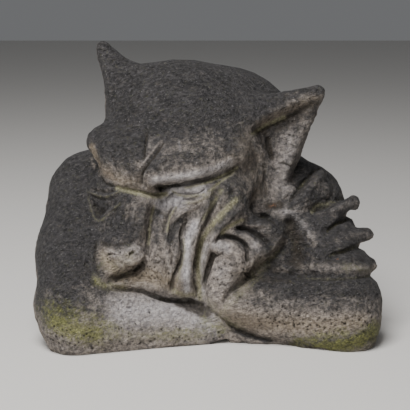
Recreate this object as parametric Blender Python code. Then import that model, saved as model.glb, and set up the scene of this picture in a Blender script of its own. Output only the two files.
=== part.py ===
"""A resting gargoyle for the garden: one concrete casting, the head laid on folded arms.

The figure is laid out in parts of its own width, X to the viewer's right, Y away from the
viewer and Z up. "Near" is the side of the face that the front view shows, "far" the other.
"""

import math

import bmesh
import bpy
import numpy as np
from mathutils import Matrix, Vector

# Width across the elbows in metres, and how many parts of the drawing it takes.
WIDTH = 0.40
PARTS_ACROSS = 408.4
PART = WIDTH / PARTS_ACROSS

# Sizes that can be set by themselves, in parts.
UPPER_ARM_RADIUS = 58.0
ELBOW_RADIUS = 47.0
FOREARM_RADIUS = 36.0
FOOT_RADIUS = 32.0
FINGER_RADIUS = 10.0
EAR_THICKNESS = 11.0
EAR_RIM_RADIUS = 24.0
EAR_TIP_RADIUS = 5.0
NEAR_EAR_HEIGHT = 282.0
FAR_EAR_HEIGHT = 332.0
BACK_DEPTH = 54.0
HEAD_TURN = -35.0
SPINE_BUMPS = 6

# How finely the skin is worked before it is faceted, and how many facets are left.
SKIN_STEP = 2.6
FACETS = 9700

# The carver's front template, on which the strokes are drawn in parts: the station point
# that it is seen from, the tilt of the sight line and how far off the template stands.
STATION = (-4.0, -1433.0, 422.0)
SIGHT_TILT = math.radians(11.0)
TEMPLATE_DISTANCE = 1200.0


def ball(centre, radii, turn=0.0, lean=0.0, blend=20.0):
    """An ellipsoid mass, turned about Z and then leant about its own X, both in degrees."""
    if isinstance(radii, (int, float)):
        radii = (radii, radii, radii)
    axes = Matrix.Rotation(math.radians(turn), 3, "Z") @ Matrix.Rotation(math.radians(lean), 3, "X")
    reach = max(radii)
    return {"kind": "ball", "ends": [centre], "reach": reach, "radii": radii, "axes": axes, "blend": blend}


def limb(start, end, start_radius, end_radius, blend=14.0):
    """A tapering mass between two round ends."""
    radii = (start_radius, end_radius)
    return {"kind": "limb", "ends": [start, end], "reach": max(radii), "radii": radii, "blend": blend}


def plate(corners, thickness, blend=8.0):
    """A triangular slab with rounded edges."""
    return {"kind": "plate", "ends": list(corners), "reach": thickness / 2, "blend": blend}


def chain(points, radii, blend=14.0):
    """Limbs from point to point."""
    pairs = zip(zip(points, radii), zip(points[1:], radii[1:]))
    return [limb(a, b, ra, rb, blend) for (a, ra), (b, rb) in pairs]


def taken_off(masses):
    """The same shapes, cut away from what stands before them in the list."""
    return [{**mass, "cut": True} for mass in masses]


def trunk_masses():
    """Body and neck, haunches and hind feet at the back, and a low row of bumps for the spine."""
    masses = [
        ball((-5, 52, 62), (150, 74, 100), blend=30),
        ball((0, 78, 150), (92, BACK_DEPTH, 88), blend=40),
        limb((-20, 50, 150), (0, 20, 215), 62, 58, blend=30),
        ball((2, 74, 190), (70, BACK_DEPTH, 66), blend=30),
        limb((-110, -40, 8), (110, -30, 8), 60, 60, blend=20),
        ball((0, 20, 2), (170, 98, 44), blend=16),
    ]
    for side in (-1, 1):
        masses += [
            ball((side * 128, 62, 62), (46, 64, 66), side * 12, 0, blend=10),
            limb((side * 146, 92, 12), (side * 160, -20, 10), 22, 20, blend=12),
        ]
    for step in range(SPINE_BUMPS):
        height = 48 + step * (168 - 48) / (SPINE_BUMPS - 1)
        bulge = BACK_DEPTH * math.sqrt(1 - ((height - 120) / 170) ** 2)
        masses.append(ball((2, 80 + bulge, height), (12, 9, 12), blend=8))
    return masses


def arm_masses():
    """Both upper arms, the forearms folded across the front and their flat feet."""
    far_elbow = (-149, -96, 46)
    near_elbow = (155, -86, 44)
    return [
        limb((-142, 38, 148), (-147, -40, 90), UPPER_ARM_RADIUS, UPPER_ARM_RADIUS - 6, blend=30),
        limb((-147, -40, 90), far_elbow, UPPER_ARM_RADIUS - 6, ELBOW_RADIUS, blend=30),
        limb((113, 34, 134), near_elbow, UPPER_ARM_RADIUS, ELBOW_RADIUS, blend=30),
        limb(far_elbow, (10, -52, 34), ELBOW_RADIUS, FOREARM_RADIUS, blend=20),
        limb((-150, -115, 16), (20, -70, 12), FOOT_RADIUS + 2, FOOT_RADIUS - 4, blend=20),
        limb((160, -104, 16), (60, -78, 12), FOOT_RADIUS + 2, FOOT_RADIUS - 4, blend=20),
        limb(near_elbow, (20, -82, 44), ELBOW_RADIUS - 6, FOREARM_RADIUS - 6, blend=6),
    ]


def head_masses():
    return [
        ball((-18, 38, 226), (94, 94, 88), HEAD_TURN, 0, blend=34),
        ball((-54, 34, 252), (58, 62, 56), blend=30),
        ball((35, 58, 224), 76, blend=30),
        # Forehead, and the brow ridge that overhangs the eyes.
        ball((-58, -12, 222), (74, 48, 46), HEAD_TURN, 20, blend=30),
        *chain([(-127, -24, 224), (-102, -50, 211), (-60, -68, 203), (-20, -69, 203), (30, -44, 212)],
               [18, 20, 21, 20, 18], blend=26),
        # Temple, and below it the hinge of the jaw.
        ball((38, -8, 186), (30, 34, 54), HEAD_TURN, 0, blend=18),
        ball((50, -14, 148), (34, 30, 44), HEAD_TURN, 0, blend=14),
        # Far cheek, cheek and jaw below the brow.
        ball((-100, -26, 166), (34, 38, 44), HEAD_TURN, 0, blend=10),
        ball((-117, -38, 162), (26, 24, 32), HEAD_TURN, 0, blend=8),
        ball((-16, -38, 144), (70, 48, 76), HEAD_TURN, 0, blend=8),
        ball((-52, -54, 100), (52, 46, 48), HEAD_TURN, 0, blend=16),
        # Nose from between the brows to its blunt end, and the upper lip.
        limb((-92, -50, 190), (-101, -66, 138), 27, 27, blend=10),
        limb((-76, -54, 190), (-84, -72, 134), 24, 24, blend=8),
        ball((-102, -85, 104), (30, 24, 30), HEAD_TURN, 0, blend=6),
        ball((-108, -82, 86), (26, 24, 26), HEAD_TURN, 0, blend=8),
        # Jaw.
        ball((-44, -68, 78), (44, 34, 26), HEAD_TURN, 0, blend=10),
    ]


def jowl_masses():
    """Loose skin hanging from the cheek in ropes."""
    return [
        *chain([(52, -34, 184), (22, -66, 154), (2, -82, 126), (-4, -86, 94), (-8, -82, 66)],
               [14, 13, 11, 9, 9], blend=8),
        *chain([(14, -64, 172), (-2, -78, 149), (-16, -86, 121), (-21, -90, 93), (-18, -84, 66)],
               [9, 10, 10, 9, 11], blend=5),
        *chain([(-30, -70, 140), (-38, -80, 112), (-42, -82, 80)], [9, 10, 8], blend=6),
        # Lids of the near eye and the bag below it.
        ball((-14, -62, 176), (28, 10, 8), HEAD_TURN + 4, 0, blend=4),
        limb((-44, -74, 158), (2, -64, 170), 6, 5, blend=6),
        # Lids of the far eye.
        ball((-114, -48, 176), (17, 12, 9), -60, 0, blend=5),
    ]


def near_ear_masses():
    """The ear towards the viewer: a slab hung from a thick rim that runs out to the tip."""
    tip = (130, -8, NEAR_EAR_HEIGHT)
    lobe = (80, -22, 160)
    return [
        plate([(40, -4, 250), (128, -4, 274), (76, -12, 168)], EAR_THICKNESS + 2, blend=10),
        plate([tip, lobe, (106, 2, 202)], EAR_THICKNESS, blend=10),
        limb((26, -14, 250), tip, EAR_RIM_RADIUS, EAR_TIP_RADIUS, blend=16),
        limb((70, -16, 200), (76, -22, 164), 11, 9, blend=10),
    ]


def near_ear_cuts():
    return taken_off([
        limb((70, -32, 236), (106, -24, 256), 15, 7, blend=5),
        limb((78, -32, 230), (82, -34, 184), 12, 8, blend=8),
        limb((78, -22, 218), (76, -22, 204), 5, 5, blend=4),
    ])


def far_ear_masses():
    tip = (-129, 45, FAR_EAR_HEIGHT)
    return [
        limb((-78, 34, 262), tip, 38, EAR_TIP_RADIUS, blend=20),
        limb((-100, 12, 250), tip, 20, EAR_TIP_RADIUS, blend=14),
    ]


def fist_masses():
    """The near arm's hand, bent up at the wrist, its curled fingers against the cheek."""
    finger = FINGER_RADIUS
    return [
        limb((4, -84, 56), (30, -76, 96), 20, 28, blend=10),
        limb((30, -76, 96), (64, -58, 112), 28, 24, blend=8),
        ball((38, -50, 122), (34, 24, 26), 0, 0, blend=6),
        *chain([(60, -58, 98), (75, -60, 114), (50, -64, 133)],
               [finger + 5, finger + 6, finger + 4], blend=3),
        *chain([(52, -72, 86), (64, -75, 105), (34, -81, 123)],
               [finger + 4, finger + 4, finger + 2], blend=3),
        *chain([(32, -84, 78), (42, -88, 98), (13, -91, 112)],
               [finger + 7, finger + 4, finger + 2], blend=3),
    ]


def grip_masses():
    """The far arm's hand, which comes out past the fist and grips the near upper arm."""
    finger = FINGER_RADIUS
    knuckles = [(112, -30, 158), (104, -36, 146), (112, -42, 128), (116, -54, 106), (112, -62, 84)]
    tips = [(130, -4, 181), (137, -10, 164), (172, -20, 150), (187, -34, 113), (190, -52, 80)]
    fingers = [limb(k, t, finger + 4, finger + 1, blend=4) for k, t in zip(knuckles, tips)]
    return [
        limb((60, -36, 96), (102, -30, 116), 30, 26, blend=12),
        limb((82, -36, 140), (104, -26, 158), 16, 15, blend=10),
        ball((74, -42, 76), (50, 32, 34), 0, 0, blend=12),
        *fingers,
        *taken_off([ball((106, -88, 106), (14, 20, 26), blend=16)]),
    ]


def all_masses():
    groups = (trunk_masses, arm_masses, head_masses, jowl_masses, near_ear_masses, near_ear_cuts,
              far_ear_masses, fist_masses, grip_masses)
    return [mass for group in groups for mass in group()]


# Carving strokes on the front template. Each has its points, its half width and its depth,
# which is below zero for a raised line, and reaches no further back than "back".
def stroke(points, half_width, depth, back=20.0):
    return {"points": points, "half_width": half_width, "depth": depth, "back": back}


def face_strokes():
    return [
        # Under the brow, deepest at the near eye.
        stroke([(-88, 18), (-66, 13), (-48, 11), (-36, 16)], 2.5, 6),
        stroke([(-48, 18), (-36, 18), (-18, 21), (0, 26), (18, 32), (32, 39)], 3, 8),
        # The frown, and the hollow of the far cheek.
        stroke([(-58, 70), (-60, 52), (-62, 46)], 3, 5),
        stroke([(-42, 62), (-56, 44), (-64, 32), (-66, 20)], 3, 4),
        stroke([(-112, 2), (-107, -12), (-94, -4)], 5, 3),
        # Between the nose and the cheek, then along the mouth.
        stroke([(-54, -3), (-57, -20), (-58, -38), (-58, -52)], 3, 8),
        stroke([(-61, -60), (-72, -66), (-84, -71), (-96, -76)], 4, 8),
        # Creases between the jowls.
        stroke([(-18, -11), (-31, -20), (-37, -32)], 3, 5),
        stroke([(-21, -16), (-24, -36), (-23, -53), (-27, -68), (-34, -84)], 3, 7),
        stroke([(11, 13), (8, -4), (-3, -30), (-8, -50), (-10, -77), (-8, -94)], 3.5, 9),
        stroke([(29, 15), (12, -10), (-1, -34), (-6, -60), (-5, -96)], 2.5, 6),
        stroke([(8, -49), (3, -62), (-1, -80), (-2, -98)], 3, 9),
        # Where the head rests on the forearm.
        stroke([(-104, -79), (-84, -84), (-62, -87), (-45, -92)], 3.5, 8),
        stroke([(-50, -91), (-34, -96), (-16, -97), (-4, -101)], 4.5, 13),
    ]


def hand_strokes():
    return [
        stroke([(33, -23), (46, -25), (57, -31), (65, -39)], 2.5, 8),
        stroke([(16, -33), (28, -34), (38, -38), (42, -46), (43, -58)], 2.5, 8),
        stroke([(40, -17), (52, -11), (64, -12)], 3, 5),
        stroke([(80, -38), (66, -52), (50, -62), (38, -76), (26, -86), (17, -98)], 3, 6),
        stroke([(113, 38), (95, 17), (80, 1)], 3, 8, back=40),
        stroke([(108, -6), (123, 1), (140, 9)], 3, 8, back=40),
        stroke([(120, -27), (132, -20), (146, -8)], 3, 9, back=40),
        stroke([(125, -53), (141, -48), (165, -38)], 3, 9, back=40),
        # Under the rim of the near ear.
        stroke([(50, 74), (62, 82), (74, 88), (92, 97)], 2.5, 5),
        stroke([(72, -69), (90, -70), (130, -71), (178, -70)], 3.5, 6, back=40),
        stroke([(0, -98), (16, -110), (36, -123), (58, -133), (90, -139)], 4, 6),
    ]


def all_strokes():
    return face_strokes() + hand_strokes()


def distance_to_segment(points, start, end, start_radius=0.0, end_radius=0.0):
    start, end = np.array(start, float), np.array(end, float)
    along = end - start
    share = np.clip((points - start) @ along / (along @ along), 0.0, 1.0)
    away = np.linalg.norm(points - start - share[..., None] * along, axis=-1)
    return away - start_radius - share * (end_radius - start_radius)


def distance_to_triangle(points, corners):
    """Distance to a flat triangle in space."""
    a, b, c = (np.array(corner, float) for corner in corners)
    normal = np.cross(b - a, c - a)
    normal /= np.linalg.norm(normal)
    over = np.ones(points.shape[:-1], bool)
    to_edges = np.full(points.shape[:-1], np.inf)
    for start, end in ((a, b), (b, c), (c, a)):
        over &= (points - start) @ np.cross(normal, end - start) >= 0
        to_edges = np.minimum(to_edges, distance_to_segment(points, start, end))
    return np.where(over, np.abs((points - a) @ normal), to_edges)


def distance_to_mass(points, mass):
    """How far each point is outside the mass, close to its surface."""
    if mass["kind"] == "ball":
        radii = np.array(mass["radii"], float)
        local = (points - np.array(mass["ends"][0])) @ np.array(mass["axes"])
        near = np.linalg.norm(local / radii, axis=-1)
        far = np.linalg.norm(local / radii**2, axis=-1)
        return near * (near - 1.0) / np.maximum(far, 1e-9)
    if mass["kind"] == "plate":
        return distance_to_triangle(points, mass["ends"]) - mass["reach"]
    return distance_to_segment(points, *mass["ends"], *mass["radii"])


def melted(first, second, blend):
    """The nearer of two distances, rounded over where they meet."""
    share = np.clip(0.5 + 0.5 * (first - second) / blend, 0.0, 1.0)
    return first * (1.0 - share) + second * share - blend * share * (1.0 - share)


def grid_lines(masses):
    """Grid positions along X, Y and Z that take in every mass, and the ground a little below."""
    solid = [mass for mass in masses if "cut" not in mass]
    low = np.min([np.min(mass["ends"], axis=0) - mass["reach"] for mass in solid], axis=0)
    high = np.max([np.max(mass["ends"], axis=0) + mass["reach"] for mass in solid], axis=0)
    low[2] = max(low[2], -4 * SKIN_STEP)
    return [np.arange(a - 4 * SKIN_STEP, b + 4 * SKIN_STEP, SKIN_STEP) for a, b in zip(low, high)]


def figure_field(masses, lines):
    """Distances to the figure on the grid, each mass melting into those before it."""
    field = np.full([len(line) for line in lines], 60.0)
    for mass in masses:
        pad = mass["reach"] + mass["blend"] + 3 * SKIN_STEP
        low, high = np.min(mass["ends"], axis=0) - pad, np.max(mass["ends"], axis=0) + pad
        spans = [slice(*np.searchsorted(line, (a, b))) for line, a, b in zip(lines, low, high)]
        here = [line[span] for line, span in zip(lines, spans)]
        points = np.stack(np.meshgrid(*here, indexing="ij"), axis=-1)
        away = distance_to_mass(points, mass)
        there = field[tuple(spans)]
        if "cut" in mass:
            field[tuple(spans)] = -melted(-there, away, mass["blend"])
        else:
            field[tuple(spans)] = melted(there, away, mass["blend"])
    # Nothing reaches more than three grid steps into the ground.
    return np.maximum(field, -3 * SKIN_STEP - lines[2])


def on_template(points):
    """Where points in space stand on the front template, across and up."""
    tilt = SIGHT_TILT
    ahead = np.array((0.0, math.cos(tilt), -math.sin(tilt)))
    upward = np.array((0.0, math.sin(tilt), math.cos(tilt)))
    seen = points - np.array(STATION)
    scale = TEMPLATE_DISTANCE / (seen @ ahead)
    return np.stack((seen[..., 0] * scale, (seen @ upward) * scale), axis=-1)


def carve(field, strokes, lines):
    """Presses every stroke into the front of the figure, as a rounded groove."""
    points = np.stack(np.meshgrid(*lines, indexing="ij"), axis=-1)
    near = np.abs(field) < 14.0
    flat = on_template(points[near])
    depth_back = points[near][:, 1]
    pressed = np.zeros(len(flat))
    for one in strokes:
        away = np.full(len(flat), np.inf)
        for start, end in zip(one["points"], one["points"][1:]):
            away = np.minimum(away, distance_to_segment(flat, start, end))
        groove = one["depth"] * np.exp(-((away / one["half_width"]) ** 2))
        groove *= np.clip((one["back"] - depth_back) / 15.0, 0.0, 1.0)
        pressed = np.where(np.abs(groove) > np.abs(pressed), groove, pressed)
    field[near] += pressed


def skin_mesh(field, lines):
    """A closed mesh where the field is zero: one vertex in each grid cell that it crosses."""
    origin = np.array([line[0] for line in lines])
    sums = np.zeros((*field.shape, 3))
    counts = np.zeros(field.shape)
    crossings = []
    for axis in range(3):
        first = np.moveaxis(field, axis, 0)[:-1]
        second = np.moveaxis(field, axis, 0)[1:]
        cells = np.argwhere(np.moveaxis((first < 0) != (second < 0), 0, axis))
        cells = cells[(cells > 0).all(axis=1)]
        step = np.eye(3, dtype=int)[axis]
        here, there = field[tuple(cells.T)], field[tuple((cells + step).T)]
        places = cells + step * (here / (here - there))[:, None]
        sides = [np.eye(3, dtype=int)[(axis + 1) % 3], np.eye(3, dtype=int)[(axis + 2) % 3]]
        around = [cells, cells - sides[0], cells - sides[0] - sides[1], cells - sides[1]]
        for cell in around:
            np.add.at(sums, tuple(cell.T), places)
            np.add.at(counts, tuple(cell.T), 1)
        crossings.append((around, here < 0))
    used = counts > 0
    numbers = np.cumsum(used).reshape(used.shape) - 1
    verts = sums[used] / counts[used][:, None] * SKIN_STEP + origin
    faces = []
    for around, outward in crossings:
        quads = np.stack([numbers[tuple(cell.T)] for cell in around], axis=1)
        faces.append(np.where(outward[:, None], quads[:, ::-1], quads))
    mesh = bpy.data.meshes.new("gargoyle_statue")
    mesh.from_pydata(verts.tolist(), [], np.concatenate(faces).tolist())
    return mesh


def baked(obj, kind, **settings):
    """Applies one modifier to the object's mesh."""
    modifier = obj.modifiers.new(kind.title(), kind)
    for name, value in settings.items():
        setattr(modifier, name, value)
    made = bpy.data.meshes.new_from_object(obj.evaluated_get(bpy.context.evaluated_depsgraph_get()))
    obj.modifiers.clear()
    old, obj.data = obj.data, made
    bpy.data.meshes.remove(old)


def keep_outer_skin(mesh):
    """Drops every island but the largest, so that no hollow is left sealed inside."""
    bm = bmesh.new()
    bm.from_mesh(mesh)
    waiting = set(bm.verts)
    islands = []
    while waiting:
        front = [waiting.pop()]
        island = set(front)
        while front:
            vert = front.pop()
            reached = {edge.other_vert(vert) for edge in vert.link_edges} & waiting
            waiting -= reached
            island |= reached
            front.extend(reached)
        islands.append(island)
    outer = max(islands, key=len)
    bmesh.ops.delete(bm, geom=[vert for vert in bm.verts if vert not in outer], context="VERTS")
    bm.to_mesh(mesh)
    bm.free()


def cut_and_scale(obj):
    """Cuts the underside flat on the ground, then brings the figure over the origin at its real size."""
    bm = bmesh.new()
    bm.from_mesh(obj.data)
    everything = [*bm.verts, *bm.edges, *bm.faces]
    cut = bmesh.ops.bisect_plane(bm, geom=everything, plane_co=(0, 0, 0), plane_no=(0, 0, 1),
                                 clear_inner=True)
    rim = [edge for edge in cut["geom_cut"] if isinstance(edge, bmesh.types.BMEdge)]
    bmesh.ops.holes_fill(bm, edges=rim, sides=0)
    bmesh.ops.triangulate(bm, faces=bm.faces)
    across = [vert.co.x for vert in bm.verts]
    deep = [vert.co.y for vert in bm.verts]
    middle = Vector(((min(across) + max(across)) / 2, (min(deep) + max(deep)) / 2, 0))
    bmesh.ops.translate(bm, verts=bm.verts, vec=-middle)
    bmesh.ops.scale(bm, verts=bm.verts, vec=(PART, PART, PART))
    bm.to_mesh(obj.data)
    bm.free()


def concrete():
    material = bpy.data.materials.new("weathered_concrete")
    material.use_nodes = True
    shader = material.node_tree.nodes["Principled BSDF"]
    shader.inputs["Base Color"].default_value = (0.09, 0.085, 0.08, 1.0)
    shader.inputs["Roughness"].default_value = 0.92
    shader.inputs["Metallic"].default_value = 0.0
    return material


def main():
    for obj in list(bpy.data.objects):
        bpy.data.objects.remove(obj)
    masses = all_masses()
    lines = grid_lines(masses)
    field = figure_field(masses, lines)
    carve(field, all_strokes(), lines)
    statue = bpy.data.objects.new("gargoyle_statue", skin_mesh(field, lines))
    bpy.context.scene.collection.objects.link(statue)
    keep_outer_skin(statue.data)
    baked(statue, "REMESH", mode="VOXEL", voxel_size=SKIN_STEP * 0.9)
    keep_outer_skin(statue.data)
    baked(statue, "DECIMATE", ratio=FACETS / (2 * len(statue.data.polygons)), use_collapse_triangulate=True)
    cut_and_scale(statue)
    statue.data.materials.append(concrete())
    statue.data.shade_smooth()


main()
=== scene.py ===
import math

import bmesh
import bpy
import numpy as np
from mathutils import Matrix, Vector, noise


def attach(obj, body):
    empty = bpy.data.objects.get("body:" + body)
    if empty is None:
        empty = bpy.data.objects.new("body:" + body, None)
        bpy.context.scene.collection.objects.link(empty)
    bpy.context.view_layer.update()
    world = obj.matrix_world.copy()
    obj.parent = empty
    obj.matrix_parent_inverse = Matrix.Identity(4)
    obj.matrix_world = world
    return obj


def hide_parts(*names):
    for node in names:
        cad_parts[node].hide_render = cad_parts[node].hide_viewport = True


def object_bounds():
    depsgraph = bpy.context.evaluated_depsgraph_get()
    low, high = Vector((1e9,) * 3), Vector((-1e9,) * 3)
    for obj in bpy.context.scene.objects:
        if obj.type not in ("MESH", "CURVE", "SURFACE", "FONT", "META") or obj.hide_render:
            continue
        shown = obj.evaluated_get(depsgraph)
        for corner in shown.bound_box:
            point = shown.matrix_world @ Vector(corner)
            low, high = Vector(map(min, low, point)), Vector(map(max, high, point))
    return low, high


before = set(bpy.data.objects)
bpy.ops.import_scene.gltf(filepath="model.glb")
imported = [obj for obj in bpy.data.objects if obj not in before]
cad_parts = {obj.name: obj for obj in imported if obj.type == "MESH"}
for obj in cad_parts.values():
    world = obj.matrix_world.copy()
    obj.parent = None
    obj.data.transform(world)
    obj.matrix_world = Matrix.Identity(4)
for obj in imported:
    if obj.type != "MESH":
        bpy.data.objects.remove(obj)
cad_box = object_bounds()

# The casting
# The statue is one solid casting in cement and sand, poured in a flexible mould and turned
# out whole, so it is one skin. The skin starts as the cast form and is made fine and even.
SKIN_PITCH = 0.00122
MOST_TRIANGLES = 190000


def baked(obj, kind, **settings):
    """Applies one modifier to the object's mesh."""
    modifier = obj.modifiers.new(kind.title(), kind)
    for name, value in settings.items():
        setattr(modifier, name, value)
    made = bpy.data.meshes.new_from_object(obj.evaluated_get(bpy.context.evaluated_depsgraph_get()))
    obj.modifiers.clear()
    obj.data = made


def numbers(collection, name, wide):
    """One property of every element of a mesh, as an array."""
    values = np.empty(len(collection) * wide)
    collection.foreach_get(name, values)
    return values.reshape(-1, wide) if wide > 1 else values


statue = bpy.data.objects.new("weathered_casting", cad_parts["gargoyle_statue"].data.copy())
bpy.context.scene.collection.objects.link(statue)
merged = bmesh.new()
merged.from_mesh(statue.data)
bmesh.ops.remove_doubles(merged, verts=merged.verts, dist=1e-6)
merged.to_mesh(statue.data)
merged.free()
baked(statue, "SUBSURF", levels=2, render_levels=2)
baked(statue, "REMESH", mode="VOXEL", voxel_size=SKIN_PITCH)
skin = statue.data
edges = numbers(skin.edges, "vertices", 2).astype(int)
count = len(skin.vertices)
neighbours = np.bincount(edges.ravel(), minlength=count)


def eased(values, rounds):
    """Evens out values over the skin, from each point to its neighbours."""
    values = np.array(values, float)
    flat = values.reshape(count, -1)
    for _ in range(rounds):
        for column in flat.T:
            total = np.bincount(edges[:, 0], column[edges[:, 1]], count)
            total += np.bincount(edges[:, 1], column[edges[:, 0]], count)
            column[:] = 0.5 * column + 0.5 * total / neighbours
    return flat.reshape(values.shape)


# The carving was cut in the master that the mould was made from. It is drawn on a sheet in
# front of the figure, x to the right and y down, seen from the station. The sheet's side, how
# far off it stands and the cells that sight is tested in are in steps of the sheet. Skin that
# lies behind the nearest by no more than the slack, in metres, still counts as seen.
STATION = np.array((-0.0017, -1.3995, 0.4133))
SIGHT_TILT = math.radians(11.0)
SHEET_SIDE = 410
SHEET_AWAY = 1200.0
SIGHT_CELL = 2.5
SIGHT_SLACK = 0.012
AHEAD = np.array((0.0, math.cos(SIGHT_TILT), -math.sin(SIGHT_TILT)))
UPWARD = np.array((0.0, math.sin(SIGHT_TILT), math.cos(SIGHT_TILT)))


def on_sheet(points):
    """Where points of the figure fall on the sheet."""
    seen = points - STATION
    scale = SHEET_AWAY / (seen @ AHEAD)
    middle = SHEET_SIDE / 2
    return np.stack((middle + seen[:, 0] * scale, middle - (seen @ UPWARD) * scale), axis=1)


def in_front(points, normals):
    """How much each point faces the station with nothing before it, from 0 to 1."""
    away = np.linalg.norm(points - STATION, axis=1)
    facing = np.sum((STATION - points) * normals, axis=1) / away
    across = int(SHEET_SIDE / SIGHT_CELL)
    cells = np.clip(on_sheet(points) / SIGHT_CELL, 0, across - 1).astype(int)
    nearest = np.full((across + 2, across + 2), np.inf)
    np.minimum.at(nearest, (cells[:, 0], cells[:, 1]), away)
    around = [nearest[np.clip(cells[:, 0] + i, 0, across + 1), np.clip(cells[:, 1] + j, 0, across + 1)]
              for i in (-1, 0, 1) for j in (-1, 0, 1)]
    clear = away < np.sort(around, axis=0)[3] + SIGHT_SLACK
    return eased(np.clip(facing * 4.0, 0.0, 1.0) * clear, 3)


def drawn(points, steps=5):
    """A smooth line through the points of a stroke."""
    ends = np.array([points[0], *points, points[-1]], float)
    line = [ends[1]]
    for before, a, b, after in zip(ends, ends[1:], ends[2:], ends[3:]):
        for step in range(1, steps + 1):
            t = step / steps
            bend = (b - before) * (t - 2 * t**2 + t**3) + (after - a) * (t**3 - t**2)
            line.append(a * (1 - 3 * t**2 + 2 * t**3) + b * (3 * t**2 - 2 * t**3) + bend / 2)
    return np.array(line)


def along_stroke(sheet, points, reach):
    """Points of the sheet near a stroke: which, how far off, and how far along it."""
    line = drawn(points)
    low, high = line.min(axis=0) - reach, line.max(axis=0) + reach
    close = np.flatnonzero(((sheet > low) & (sheet < high)).all(axis=1))
    spots = sheet[close]
    best = np.full(len(spots), np.inf)
    along = np.zeros(len(spots))
    for number, (a, b) in enumerate(zip(line, line[1:])):
        span = b - a
        share = np.clip((spots - a) @ span / max(span @ span, 1e-9), 0.0, 1.0)
        off = spots - a - share[:, None] * span
        away = np.hypot(off[:, 0], off[:, 1])
        nearer = away < best
        best = np.where(nearer, away, best)
        along = np.where(nearer, (number + share) / (len(line) - 1), along)
    return close, best, along


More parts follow.
